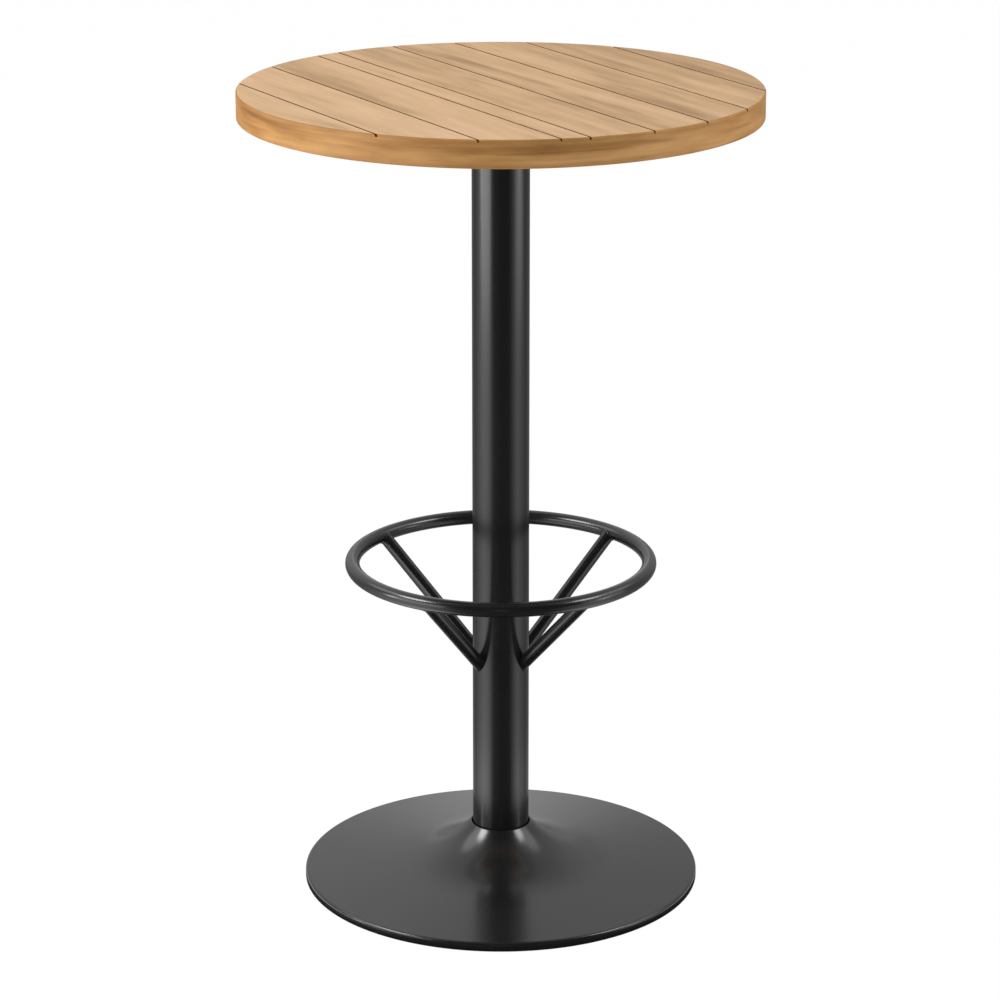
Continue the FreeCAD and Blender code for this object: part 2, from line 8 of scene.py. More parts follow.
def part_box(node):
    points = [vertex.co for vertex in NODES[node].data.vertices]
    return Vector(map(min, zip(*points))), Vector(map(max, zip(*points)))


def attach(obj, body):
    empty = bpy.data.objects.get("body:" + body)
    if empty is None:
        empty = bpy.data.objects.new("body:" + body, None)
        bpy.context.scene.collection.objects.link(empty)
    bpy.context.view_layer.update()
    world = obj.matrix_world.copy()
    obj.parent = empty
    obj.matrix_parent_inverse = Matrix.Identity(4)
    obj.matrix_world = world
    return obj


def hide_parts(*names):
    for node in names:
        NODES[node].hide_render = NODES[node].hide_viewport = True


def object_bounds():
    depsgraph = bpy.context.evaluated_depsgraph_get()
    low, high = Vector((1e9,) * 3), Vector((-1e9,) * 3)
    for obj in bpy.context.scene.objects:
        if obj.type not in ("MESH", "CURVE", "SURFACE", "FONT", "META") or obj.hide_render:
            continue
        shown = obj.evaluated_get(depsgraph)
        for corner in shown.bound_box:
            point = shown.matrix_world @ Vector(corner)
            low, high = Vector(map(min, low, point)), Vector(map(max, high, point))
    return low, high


# Round standing table. Every size is in metres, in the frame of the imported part.

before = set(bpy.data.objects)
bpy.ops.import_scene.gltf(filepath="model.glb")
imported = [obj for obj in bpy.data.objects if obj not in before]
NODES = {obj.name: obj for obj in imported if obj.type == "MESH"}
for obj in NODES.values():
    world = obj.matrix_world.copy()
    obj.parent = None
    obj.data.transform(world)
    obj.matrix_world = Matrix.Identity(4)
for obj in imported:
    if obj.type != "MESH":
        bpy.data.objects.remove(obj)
cad_low, cad_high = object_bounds()
CORNERS = ("front_left", "front_right", "back_left", "back_right")
FULL_TURN = 2 * math.pi

# The top. BOARD_TURN is the boards' turn from Y, and a board meets its neighbours in the middle of
# each seam, below SEAM_DEPTH.
TOP_Z = cad_high.z
TOP_RADIUS = (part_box("rim_segment_6")[1].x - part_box("rim_segment_3")[0].x) / 2
BOARD_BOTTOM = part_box("slat_5")[0].z
BOARD_TURN = math.radians(29.6)
BOARD_COUNT = 9
RIM_COUNT = 6
SEAM_DEPTH = 0.0035
TOP_ROUND = 0.0024
SEAM_ROUND = 0.0009
ROUND_STEPS = 5
JOINT_EASE = 0.00012
RIM_JOINT = 0.00006
# The grain of each board starts this much further on than that of the one before.
BOARD_OFFSET = (1.37, 0.61, 0.0)
# Points on a board's long side: distances from its ends, then shares of its half length, where they
# are at least SIDE_GAP further in.
SIDE_ENDS = (0.0, 0.0012, 0.004, 0.012)
SIDE_SHARES = (0.9, 0.6, 0.3, 0.0)
SIDE_GAP = 0.001
# The woods of a board, by their place in its list, and the rows below the upper face's outline that
# still have its wood, at a curved end and along a seam.
FACE, END, SEAM, UNDERSIDE = range(4)
END_FACE_ROWS = 1
SEAM_FACE_ROWS = 2
BOARD_SMOOTH_ANGLE = 40
# Steps in the curved end of a board, and in the whole curve of an outer board and a rim segment.
END_STEPS = 28
OUTER_STEPS = 90
RIM_STEPS = 40

# The column and the foot ring
TUBE_WALL = 0.0025
TUBE_END_ROUND = 1 / 6
COLUMN_SEGMENTS = 192
RING_SIDES = 40
RING_SEGMENTS = 256

# The struts' welds. The bead's radius swells by WELD_RIPPLE from point to point along it.
STRUT_RADIUS = 0.009
WELD_RADIUS = 0.0016
WELD_RIPPLE = 0.10
WELD_RIPPLE_TURN = 2.1
WELD_POINTS = 72
WELD_SIDES = 10
WELD_PASSES = 3
WELD_SMOOTH_ANGLE = 80
# Lengths up to this count as none.
NO_LENGTH = 1e-12
# A CAD point lies on the bar, or on the column or ring, when it is no further off than this. A weld
# needs more than LEAST_CURVE such points.
BAR_REACH = 2e-4
JOIN_REACH = 4e-4
LEAST_CURVE = 8
# Turns that agree to this many digits, in radians, are the same.
TURN_DIGITS = 3

# The base cover and the glide pads
SHEET = 0.0025
NECK_SLOPE = math.radians(50)
FLARE_RADIUS = 0.150
# The flare's curve eases into the cone from this angle before its end, in radians.
FLARE_EASE = 0.14
ARC_STEPS = 40
EASE_STEPS = 32
# The corner's radius in the CAD solid, and the softer one here.
COVER_BREAK = 0.0018
COVER_CORNER = 0.0042
CORNER_STEPS = 8
LIP_STEPS = 8
COVER_SEGMENTS = 256
PAD_ROUND = 0.0009
PAD_SEGMENTS = 64

# Threads and fasteners. Sides are the points of a ring, and rows the rings of a thread's turn.
# Depths, rounds and sockets are shares: of the pitch for a thread, of the head's height or the
# shank's radius for a bolt, and of the head's radius for a screw.
THREAD_PITCH = 0.00125
THREAD_DEPTH = 0.55
THREAD_SIDES = 24
THREAD_ROWS = 6
BOLT_SPACING = 0.150
BOLT_RADIUS = 0.004
BOLT_HEAD_RADIUS = 0.007
BOLT_HEAD_ROUND = 0.2
BOLT_ROUND_MIDDLE = 0.3
BOLT_SOCKET = 1.2
BOLT_SOCKET_DEPTH = 0.6
BOLT_SIDES = 48
SCREW_RADIUS = 0.004
SCREW_DOME = 0.55
SCREW_DOME_TURNS = (0, 15, 30, 45, 58)
SCREW_SOCKET = 0.36
SCREW_SOCKET_DEPTH = 0.3
SCREW_SIDES = 24
STAR_LOBE = 0.16
# The screws of a rim segment, as shares of its length.
RIM_SCREWS = (0.18, 0.5, 0.82)


# Meshes

# Edges sharper than this, in degrees, stay sharp.
SMOOTH_ANGLE = 35
# The weight at which only the area of the faces counts.
FACE_AREA_ONLY = 100
# Points nearer to each other than this become one.
JOIN_POINTS = 1e-6
# A CAD point this near to a face's height, or to an outline, is on it.
FACE_REACH = 1e-5
OUTLINE_REACH = 1e-4


def add_object(name, data):
    made = bpy.data.objects.new(name, data)
    bpy.context.scene.collection.objects.link(made)
    return made


def new_piece(name, verts, faces, materials, face_materials=None, smooth=SMOOTH_ANGLE):
    """A mesh object from plain lists, shaded smooth up to the given angle in degrees."""
    mesh = bpy.data.meshes.new(name)
    mesh.from_pydata([tuple(v) for v in verts], [], faces)
    for material in materials:
        mesh.materials.append(material)
    if face_materials:
        mesh.polygons.foreach_set("material_index", face_materials)
    build = bmesh.new()
    build.from_mesh(mesh)
    bmesh.ops.recalc_face_normals(build, faces=build.faces)
    build.to_mesh(mesh)
    build.free()
    mesh.shade_smooth()
    mesh.set_sharp_from_angle(angle=math.radians(smooth))
    return add_object(name, mesh)


def weigh_normals(piece):
    """Shade a rounded edge so that the large faces beside it stay flat."""
    modifier = piece.modifiers.new("flat faces stay flat", "WEIGHTED_NORMAL")
    modifier.keep_sharp = True
    modifier.weight = FACE_AREA_ONLY


def settle(piece, body, slot, *replaced):
    """Put a finished piece on its body and hide the CAD nodes that it stands for; the finish given
    as slot is not used.
    """
    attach(piece, body)
    if replaced:
        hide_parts(*replaced)
    return piece


def rounded_path(corners, steps=6):
    """Points along a closed run of (x, y, radius) corners, each turned on its own radius."""
    path = []
    count = len(corners)
    for index, (x, y, radius) in enumerate(corners):
        here = Vector((x, y))
        if radius == 0:
            path.append((x, y))
            continue
        before = (Vector(corners[index - 1][:2]) - here).normalized()
        after = (Vector(corners[(index + 1) % count][:2]) - here).normalized()
        half = before.angle(after) / 2
        centre = here + (before + after).normalized() * (radius / math.sin(half))
        sweep = math.pi - 2 * half
        arm = here + before * (radius / math.tan(half)) - centre
        sign = 1 if before.y * after.x > before.x * after.y else -1
        for step in range(steps + 1):
            turn = Matrix.Rotation(sign * sweep * step / steps, 2)
            path.append(tuple(centre + turn @ arm))
    return path


def polar(radius, turn, middle=(0.0, 0.0)):
    """The point at this radius and turn, in radians, about the middle."""
    return middle[0] + radius * math.cos(turn), middle[1] + radius * math.sin(turn)


def band(first, second, size, turned=False):
    """Quads between two closed rows of points, each row given by the index of its first point.
    turned runs round them the other way."""
    quads = [(first + i, second + i, second + (i + 1) % size, first + (i + 1) % size)
             for i in range(size)]
    return [(a, d, c, b) for a, b, c, d in quads] if turned else quads


def lathe_mesh(path, segments, start=0.0, sweep=FULL_TURN):
    """Vertices and faces of a closed (radius, height) path turned about Z. A part turn has caps."""
    whole = math.isclose(sweep, FULL_TURN)
    columns = segments if whole else segments + 1
    verts = []
    for column in range(columns):
        turn = start + sweep * column / segments
        verts += [(*polar(r, turn), z) for r, z in path]
    size = len(path)
    off_axis = [path[row][0] > 0 or path[(row + 1) % size][0] > 0 for row in range(size)]
    faces = []
    for column in range(segments):
        quads = band(column * size, (column + 1) % columns * size, size)
        faces += [quad for quad, kept in zip(quads, off_axis) if kept]
    if not whole:
        last = (columns - 1) * size
        faces.append(tuple(range(size)))
        faces.append(tuple(last + row for row in reversed(range(size))))
    return verts, faces


def lathe(name, path, material, segments):
    """A piece turned about Z, with the points that meet on its axis joined."""
    verts, faces = lathe_mesh(path, segments)
    piece = new_piece(name, verts, faces, [material])
    build = bmesh.new()
    build.from_mesh(piece.data)
    bmesh.ops.remove_doubles(build, verts=build.verts, dist=JOIN_POINTS)
    build.to_mesh(piece.data)
    build.free()
    piece.data.set_sharp_from_angle(angle=math.radians(SMOOTH_ANGLE))
    weigh_normals(piece)
    return piece


# Materials

# Noise reaches about this far each way from its middle of 0.5.
CLOUD_SPAN = (0.3, 0.7)

# The grain sways by up to GRAIN_SWAY on the axes where the broad figure has more than CROSS_CELLS
# cells per metre. The sway has SWAY_CELLS times its cells. Streaks sway with it, by STREAK_SWAY
# times their half width.
GRAIN_SWAY = 0.030
CROSS_CELLS = 12.0
SWAY_CELLS = 0.3
STREAK_SWAY = 3.0
# Detail and roughness of the broad figure, clouds, lines and fibres.
GRAIN_DETAIL = ((2.5, 0.45), (2.0, 0.5), (4.0, 0.62), (2.0, 0.6))
# Pores have PORE_CELLS times the fibres' cells, and lie where their noise is over PORE_LEVEL. They
# darken the wood by PORE_SHARE towards PORE_SHADE of its darkest tone.
PORE_CELLS = 1.7
PORE_LEVEL = 0.68
PORE_SHARE = 0.16
PORE_SHADE = 0.55
FIBRE_HEIGHT = 0.7
WOOD_BUMP = 0.22
WOOD_RELIEF = 0.0002
WOOD_ROUGHNESS = (0.56, 0.66)

# Cells per metre of a coat's clouds, and its least and greatest roughness as shares of what is
# asked for.
COAT_CELLS = 9.0
COAT_GLOSS = (0.94, 1.06)
COAT_IOR = 1.5


class Graph:
    """A short way to write the node tree of a material or a world."""

    def __init__(self, owner):
        owner.use_nodes = True
        self.owner = owner
        self.tree = owner.node_tree
        self.tree.nodes.clear()

    def add(self, kind, inputs=None, **settings):
        """A node with a value or another node's socket for each input, and its own settings."""
        node = self.tree.nodes.new(kind)
        for key, value in settings.items():
            setattr(node, key, value)
        for key, value in (inputs or {}).items():
            socket = node.inputs[key]
            if isinstance(value, bpy.types.NodeSocket):
                self.tree.links.new(value, socket)
            else:
                socket.default_value = value
        return node

    def math(self, operation, first, second=0.0):
        return self.add("ShaderNodeMath", {0: first, 1: second}, operation=operation).outputs[0]

    def vector_math(self, operation, first, second):
        node = self.add("ShaderNodeVectorMath", {0: first, 1: second}, operation=operation)
        return node.outputs[0]

    def sum_of_squares(self, first, second):
        squares = [self.math("MULTIPLY", value, value) for value in (first, second)]
        return self.math("ADD", *squares)

    def map_range(self, value, span, levels, interpolation="LINEAR"):
        """Take the value from the span (low, high) to the levels (at low, at high)."""
        node = self.add("ShaderNodeMapRange", {0: value, 1: span[0], 2: span[1], 3: levels[0],
                                               4: levels[1]}, interpolation_type=interpolation)
        return node.outputs[0]

    def mix(self, share, first, second):
        return self.add("ShaderNodeMixShader", {0: share, 1: first, 2: second}).outputs[0]

    def mix_colour(self, share, first, second):
        """The colour sockets of the node are inputs 6 and 7 and output 2."""
        node = self.add("ShaderNodeMix", {0: share, 6: first, 7: second}, data_type="RGBA")
        return node.outputs[2]

    def noise(self, vector, scale, detail, roughness=0.5):
        """Noise with its own scale along each axis, in cells per metre."""
        node = self.add("ShaderNodeTexNoise", {
            "Vector": self.vector_math("MULTIPLY", vector, scale), "Scale": 1.0, "Detail": detail,
            "Roughness": roughness})
        return node.outputs[0]

    def ramp(self, value, stops):
        """A colour between stops, each a place from 0 to 1 and a colour."""
        node = self.add("ShaderNodeValToRGB", {0: value})
        elements = node.color_ramp.elements
        while len(elements) < len(stops):
            elements.new(0.5)
        for element, (place, colour) in zip(elements, stops):
            element.position = place
            element.color = (*colour, 1.0)
        return node.outputs[0]

    def finish(self, shader, kind="ShaderNodeOutputMaterial"):
        """End the tree with this shader, and return the material or world."""
        self.add(kind, {"Surface": shader})
        return self.owner


def material_graph(name):
    return Graph(bpy.data.materials.new(name))


def turn_from_front(graph, x, y):
    """The angle about Z from the front, to the right, in radians."""
    return graph.math("ARCTAN2", x, graph.math("MULTIPLY", y, -1.0))


def board_place(graph):
    """Place in the boards' own directions: X across them, Y along them."""
    place = graph.add("ShaderNodeTexCoord").outputs["Object"]
    turned = graph.add("ShaderNodeVectorRotate", {"Vector": place, "Angle": -BOARD_TURN},
                       rotation_type="Z_AXIS")
    return turned.outputs[0]


def rim_place(graph):
    """Place on the rim: X round it from the front, Y outward, Z up."""
    place = graph.add("ShaderNodeTexCoord").outputs["Object"]
    x, y, z = graph.add("ShaderNodeSeparateXYZ", {0: place}).outputs
    round_it = graph.math("MULTIPLY", turn_from_front(graph, x, y), TOP_RADIUS)
    outward = graph.math("SQRT", graph.sum_of_squares(x, y))
    return graph.add("ShaderNodeCombineXYZ", {0: round_it, 1: outward, 2: z}).outputs[0]


def add_streak(graph, tone, across, along, sway, streak):
    """Darken the tone along a soft line from start to end, both (across, along)."""
    (start_across, start_along), (end_across, end_along), half_width, depth = streak
    passed = graph.math("SUBTRACT", along, start_along)
    share = graph.math("DIVIDE", passed, end_along - start_along)
    line = graph.math("ADD", graph.math("MULTIPLY", share, end_across - start_across), start_across)
    line = graph.math("ADD", line, graph.math("MULTIPLY", sway, half_width * STREAK_SWAY))
    beside = graph.math("DIVIDE", graph.math("SUBTRACT", across, line), half_width)
    beyond = graph.math("SUBTRACT", graph.math("MULTIPLY", share, 2.0), 1.0)
    far = graph.math("ADD", graph.math("MULTIPLY", beside, beside),
                     graph.math("POWER", graph.math("ABSOLUTE", beyond), 4.0))
    bell = graph.math("EXPONENT", graph.math("MULTIPLY", far, -1.0))
    return graph.math("SUBTRACT", tone, graph.math("MULTIPLY", bell, depth))


def wood(name, place_of, grain, offset, stops, streaks=(), contrast=(0.38, 0.30, 0.28, 0.12),
         level=0.5, ior=1.38):
    """Oiled teak. grain gives the cells per metre of broad figure, clouds, lines and fibres on each
    axis, and contrast how strongly each shows."""
    graph = material_graph(name)
    place = place_of(graph)
    moved = graph.vector_math("ADD", place, offset)
    slow = [cells * SWAY_CELLS for cells in grain[0]]
    sway = graph.math("SUBTRACT", graph.noise(moved, slow, detail=2.0), 0.5)
    crosswise = [GRAIN_SWAY if cells > CROSS_CELLS else 0.0 for cells in grain[0]]
    shift = graph.add("ShaderNodeVectorMath", {0: crosswise, "Scale": sway}, operation="SCALE")
    grown = graph.vector_math("ADD", moved, shift.outputs[0])
    layers = [graph.noise(grown, cells, detail=detail, roughness=roughness)
              for cells, (detail, roughness) in zip(grain, GRAIN_DETAIL)]
    lines, fibres = layers[2:]
    tone = level
    for value, share in zip(layers, contrast):
        part = graph.math("MULTIPLY", graph.math("SUBTRACT", value, 0.5), share * 2)
        tone = graph.math("ADD", part, tone)
    x, y, z = graph.add("ShaderNodeSeparateXYZ", {0: place}).outputs
    across, along = (z, x) if place_of is rim_place else (x, y)
    for streak in streaks:
        tone = add_streak(graph, tone, across, along, sway, streak)
    colour = graph.ramp(tone, stops)
    fine = [cells * PORE_CELLS for cells in grain[3]]
    pores = graph.math("GREATER_THAN", graph.noise(grown, fine, detail=1.0), PORE_LEVEL)
    pore_colour = (*(part * PORE_SHADE for part in stops[0][1]), 1.0)
    worn = graph.mix_colour(graph.math("MULTIPLY", pores, PORE_SHARE), colour, pore_colour)
    height = graph.math("SUBTRACT", graph.math("MULTIPLY", fibres, FIBRE_HEIGHT), pores)
    bump = graph.add("ShaderNodeBump", {"Strength": WOOD_BUMP, "Distance": WOOD_RELIEF,
                                        "Height": height})
    shader = graph.add("ShaderNodeBsdfPrincipled", {
        "Base Color": worn,
        "Roughness": graph.map_range(lines, CLOUD_SPAN, WOOD_ROUGHNESS),
        "IOR": ior, "Normal": bump.outputs[0]})
    return graph.finish(shader.outputs[0])


def coat(name, colour, roughness, grain=1400.0, depth=0.00003, bumps=0.35, metallic=0.0,
         cloud=0.12):
    """Paint, plating or plastic with a fine texture, slightly uneven in colour and gloss."""
    graph = material_graph(name)
    place = graph.add("ShaderNodeTexCoord").outputs["Object"]
    fine = graph.noise(place, (grain,) * 3, detail=2.0)
    soft = graph.noise(place, (COAT_CELLS,) * 3, detail=3.0)
    low = tuple(part * (1 - cloud) for part in colour)
    high = tuple(min(1.0, part * (1 + cloud)) for part in colour)
    tint = graph.ramp(soft, list(zip(CLOUD_SPAN, (low, high))))
    rough = graph.map_range(soft, CLOUD_SPAN, [roughness * share for share in COAT_GLOSS])
    bump = graph.add("ShaderNodeBump", {"Strength": bumps, "Distance": depth, "Height": fine})
    shader = graph.add("ShaderNodeBsdfPrincipled", {
        "Base Color": tint, "Roughness": rough, "Metallic": metallic, "IOR": COAT_IOR,
        "Normal": bump.outputs[0]})
    return graph.finish(shader.outputs[0])


# Wood tones from the darkest figure to the lightest.
TOP_STOPS = [
    (0.05, (0.350, 0.202, 0.092)),
    (0.30, (0.455, 0.280, 0.138)),
    (0.50, (0.572, 0.362, 0.190)),
    (0.80, (0.665, 0.435, 0.246)),
]
RIM_STOPS = [
    (0.08, (0.199, 0.079, 0.015)),
    (0.38, (0.329, 0.153, 0.038)),
    (0.58, (0.449, 0.230, 0.071)),
    (0.88, (0.596, 0.340, 0.136)),
]
# Very dark teak on the walls of the seams between boards: painted shade in the grooves.
SEAM_SHADE_STOPS = [
    (0.10, (0.075, 0.024, 0.003)),
    (0.90, (0.125, 0.045, 0.006)),
]
# Darker teak for the battens, also put on the boards' undersides as painted shade under the top.
BATTEN_AND_SHADE_STOPS = [
    (0.05, (0.15, 0.085, 0.045)),
    (0.45, (0.23, 0.140, 0.082)),
    (0.90, (0.31, 0.200, 0.125)),
]
BEECH_STOPS = [
    (0.10, (0.50, 0.34, 0.20)),
    (0.90, (0.66, 0.48, 0.31)),
]
# Cells per metre of broad figure, clouds, lines and fibres, for grain along each direction.
ALONG_Y = ((24.0, 1.6, 24.0), (60.0, 8.0, 60.0), (170.0, 3.0, 170.0), (1300.0, 16.0, 1300.0))
ALONG_X = ((1.6, 24.0, 24.0), (8.0, 60.0, 60.0), (3.0, 170.0, 170.0), (16.0, 1300.0, 1300.0))
ROUND_RIM = ((5.0, 3.0, 48.0), (16.0, 9.0, 90.0), (7.0, 9.0, 210.0), (24.0, 40.0, 1300.0))
# The middle tone of each board, from the first at the left.
BOARD_LEVELS = (0.57, 0.61, 0.55, 0.54, 0.47, 0.47, 0.44, 0.37, 0.36)

# Streaks of each board, from start to end as (across, along) from the table's middle, with their
# half width and depth. A negative depth is lighter.
STREAKS = {
    1: [((-0.345, 0.05), (-0.300, -0.16), 0.010, 0.20)],
    2: [((-0.262, 0.19), (-0.240, -0.03), 0.007, 0.20)],
    3: [((-0.180, 0.31), (-0.190, -0.16), 0.011, 0.36),
        ((-0.150, 0.26), (-0.165, 0.00), 0.012, 0.12)],
    4: [((-0.091, 0.26), (-0.077, -0.12), 0.005, 0.18)],
    5: [((-0.006, 0.10), (0.002, -0.02), 0.004, 0.18),
        ((0.010, -0.10), (0.014, -0.20), 0.004, 0.18)],
    6: [((0.028, 0.35), (0.050, 0.14), 0.012, 0.30),
        ((0.054, 0.20), (0.060, -0.07), 0.007, 0.34),
        ((0.056, -0.09), (0.062, -0.24), 0.007, 0.30)],
    7: [((0.128, -0.13), (0.125, -0.32), 0.012, 0.26),
        ((0.096, 0.10), (0.092, -0.08), 0.007, 0.16)],
    8: [((0.265, 0.18), (0.262, -0.16), 0.012, 0.24),
        ((0.222, 0.14), (0.230, -0.10), 0.008, 0.14),
        ((0.242, 0.24), (0.238, 0.02), 0.007, -0.14),
        ((0.246, -0.02), (0.240, -0.22), 0.008, -0.12)],
    9: [((0.305, 0.10), (0.310, -0.06), 0.008, 0.12),
        ((0.322, 0.06), (0.318, -0.10), 0.007, -0.12)],
}

# The rim's streaks, from start to end as (height, distance round from the front). The first, broad
# one over the rim's whole height on its left is painted shade on the side the lamps light most; the
# others are figure.
RIM_STREAKS_AND_SHADE = [
    ((1.100, -0.56), (1.100, -0.38), 0.0200, 0.09),
    ((1.110, -0.16), (1.107, 0.20), 0.0055, 0.14),
    ((1.102, 0.01), (1.104, 0.17), 0.0014, 0.20),
    ((1.113, -0.45), (1.110, -0.30), 0.0035, 0.26),
    ((1.096, -0.42), (1.093, -0.18), 0.0070, -0.10),
    ((1.090, -0.02), (1.092, 0.16), 0.0030, -0.12),
    ((1.092, 0.24), (1.100, 0.42), 0.0035, 0.10),
    ((1.100, 0.16), (1.094, 0.46), 0.0120, -0.10),
]

# Finishes
powder = coat("black_powder_coat", (0.0080, 0.0080, 0.0083), 0.21, bumps=0.15)
primer = coat("black_primer", (0.022, 0.022, 0.022), 0.60, grain=700.0)
iron = coat("cast_iron", (0.10, 0.10, 0.10), 0.70, grain=500.0, depth=0.0002)
steel = coat("stainless", (0.56, 0.55, 0.53), 0.30, grain=900.0, metallic=1.0, cloud=0.06)
rubber = coat("black_plastic", (0.020, 0.020, 0.020), 0.52, grain=900.0)
rim_teak = wood("teak_rim", rim_place, ROUND_RIM, (0.31, 0.72, 0.04), RIM_STOPS, RIM_STREAKS_AND_SHADE,
                contrast=(0.28, 0.20, 0.22, 0.08))
# The seams' walls: painted shade in the grooves, kept low in gloss.
seam_shade_teak = wood("teak_seam_shade", board_place, ALONG_Y, (0.5, 0.3, 0.1), SEAM_SHADE_STOPS, ior=1.1)
batten_and_shade_teak = wood("teak_batten", board_place, ALONG_X, (0.2, 0.7, 0.1), BATTEN_AND_SHADE_STOPS)
beech = wood("beech", rim_place, ALONG_X, (0.6, 0.1, 0.3), BEECH_STOPS)


# The top

def turned_points(node):
    """A node's corner points, with the boards' direction turned to Y."""
    back = Matrix.Rotation(-BOARD_TURN, 3, "Z")
    return [back @ v.co for v in NODES[node].data.vertices]


def board_faces():
    """The span across the boards of each board's upper face."""
    spans = []
    for number in range(1, BOARD_COUNT + 1):
        face = [p.x for p in turned_points(f"slat_{number}") if p.z > TOP_Z - FACE_REACH]
        spans.append((min(face), max(face)))
    return spans


def board_outline(low, high, radius, arc_steps):
    """Points round a board cut from the round top. An outer board has one straight side and the
    others two. Each point has a flag that is true on a curved end."""
    low_half, high_half = [math.sqrt(max(radius * radius - x * x, 0.0)) for x in (low, high)]
    points = []

    def side(x, half, sign):
        ends = [half - distance for distance in SIDE_ENDS]
        inner = [half * share for share in SIDE_SHARES]
        run = ends + [y for y in inner if y < ends[-1] - SIDE_GAP]
        ys = [-y for y in run] + [y for y in reversed(run) if y > 0]
        points.extend(((x, y * sign), False) for y in ys)

    def arc(first, last):
        for step in range(1, arc_steps):
            points.append((polar(radius, first + (last - first) * step / arc_steps), True))

    low_turn = math.acos(max(-1.0, low / radius))
    high_turn = math.acos(min(1.0, high / radius))
    if low <= -radius + OUTLINE_REACH:
        side(high, high_half, 1)
        arc(high_turn, FULL_TURN - high_turn)
    elif high >= radius - OUTLINE_REACH:
        side(low, low_half, -1)
        arc(-low_turn, low_turn)
    else:
        side(high, high_half, 1)
        arc(high_turn, low_turn)
        side(low, low_half, -1)
        arc(FULL_TURN - low_turn, FULL_TURN - high_turn)
    return points


def board_levels(half_gap):
    """Side inset, edge inset, depth at the side and depth at the edge, from the face down."""
    levels = []
    for step in range(ROUND_STEPS + 1):
        turn = math.pi / 2 * step / ROUND_STEPS
        inward, down = 1 - math.sin(turn), 1 - math.cos(turn)
        levels.append((half_gap + SEAM_ROUND * inward, TOP_ROUND * inward,
                       SEAM_ROUND * down, TOP_ROUND * down))
    thick = TOP_Z - BOARD_BOTTOM
    levels += [
        (half_gap, 0.0, SEAM_DEPTH, SEAM_DEPTH),
        (0.0, 0.0, SEAM_DEPTH, SEAM_DEPTH + JOINT_EASE),
        (0.0, 0.0, thick - JOINT_EASE, thick - JOINT_EASE),
        (JOINT_EASE, JOINT_EASE, thick, thick),
    ]
    return levels


def make_board(number, joints, half_gap):
    """A board as a stack of outlines, from its upper face down to its underside."""
    low, high = joints
    free_low, free_high = low <= -TOP_RADIUS, high >= TOP_RADIUS
    verts, flags = [], []
    to_table = Matrix.Rotation(BOARD_TURN, 3, "Z")
    arc_steps = OUTER_STEPS if free_low or free_high else END_STEPS
    for side, edge, side_depth, edge_depth in board_levels(half_gap):
        radius = TOP_RADIUS - edge
        inner_low = -radius if free_low else low + side
        inner_high = radius if free_high else high - side
        outline = board_outline(inner_low, inner_high, radius, arc_steps)
        flags = [curved for _, curved in outline]
        for index, ((x, y), curved) in enumerate(outline):
            near = curved or flags[index - 1] or flags[(index + 1) % len(flags)]
            depth = edge_depth if near else side_depth
            verts.append(to_table @ Vector((x, y, TOP_Z - depth)))
    size = len(flags)
    rows = len(verts) // size
    faces, marks = [tuple(range(size))], [FACE]
    for row in range(rows - 1):
        faces += band(row * size, (row + 1) * size, size)
        for index in range(size):
            if flags[index] or flags[(index + 1) % size]:
                marks.append(FACE if row < END_FACE_ROWS else END)
            else:
                marks.append(FACE if row < SEAM_FACE_ROWS else SEAM)
    faces.append(tuple((rows - 1) * size + index for index in reversed(range(size))))
    # The underside takes the battens' darker teak, painted shade under the top.
    marks.append(UNDERSIDE)
    offset = [number * distance for distance in BOARD_OFFSET]
    face_wood = wood(f"teak_board_{number}", board_place, ALONG_Y, offset, TOP_STOPS,
                     STREAKS[number], level=BOARD_LEVELS[number - 1])
    # The seams' walls take the dark teak that paints shade in the grooves.
    woods = [face_wood, rim_teak, seam_shade_teak, batten_and_shade_teak]
    piece = new_piece(f"board_{number}", verts, faces, woods, marks, smooth=BOARD_SMOOTH_ANGLE)
    weigh_normals(piece)
    return settle(piece, "table", "teak_top", f"slat_{number}")


def make_boards():
    """Boards that meet in the middle of each gap between the CAD boards' faces."""
    spans = board_faces()
    # The gaps are alike, and this is one near the middle.
    before, after = spans[3:5]
    half_gap = (after[0] - before[1]) / 2
    seams = [(left[1] + right[0]) / 2 for left, right in zip(spans, spans[1:])]
    edges = [-TOP_RADIUS] + seams + [TOP_RADIUS]
    for number, joints in enumerate(zip(edges, edges[1:]), start=1):
        make_board(number, joints, half_gap)


def rim_inner():
    """The rim's inner radius."""
    return min(math.hypot(v.co.x, v.co.y) for v in NODES["rim_segment_1"].data.vertices)


def make_rim():
    """Six curved segments under the boards, with a hairline joint between them."""
    low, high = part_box("rim_segment_1")[0].z, BOARD_BOTTOM
    inner = rim_inner()
    section = rounded_path([
        (inner, low, TOP_ROUND / 2),
        (TOP_RADIUS, low, TOP_ROUND),
        (TOP_RADIUS, high, JOINT_EASE),
        (inner, high, JOINT_EASE),
    ])
    step = FULL_TURN / RIM_COUNT
    gap = RIM_JOINT / TOP_RADIUS
    for number in range(RIM_COUNT):
        start = BOARD_TURN + step * number + gap / 2
        verts, faces = lathe_mesh(section, RIM_STEPS, start, step - gap)
        piece = new_piece(f"rim_piece_{number + 1}", verts, faces, [rim_teak])
        weigh_normals(piece)
        settle(piece, "table", "teak_rim", f"rim_segment_{number + 1}")


# The foot ring's welds

def end_curve(points, on_surface, axis_point, axis):
    """Points of a bar's end that lie on the surface and on the bar's skin, in order round it. Of
    those at the same turn, one counts."""
    side = axis.orthogonal().normalized()
    other = axis.cross(side)
    found = {}
    for point in points:
        arm = point - axis_point
        arm = arm - axis * arm.dot(axis)
        if abs(arm.length - STRUT_RADIUS) < BAR_REACH and on_surface(point):
            turn = math.atan2(arm.dot(other), arm.dot(side))
            found[round(turn, TURN_DIGITS)] = point
    return [found[key] for key in sorted(found)]


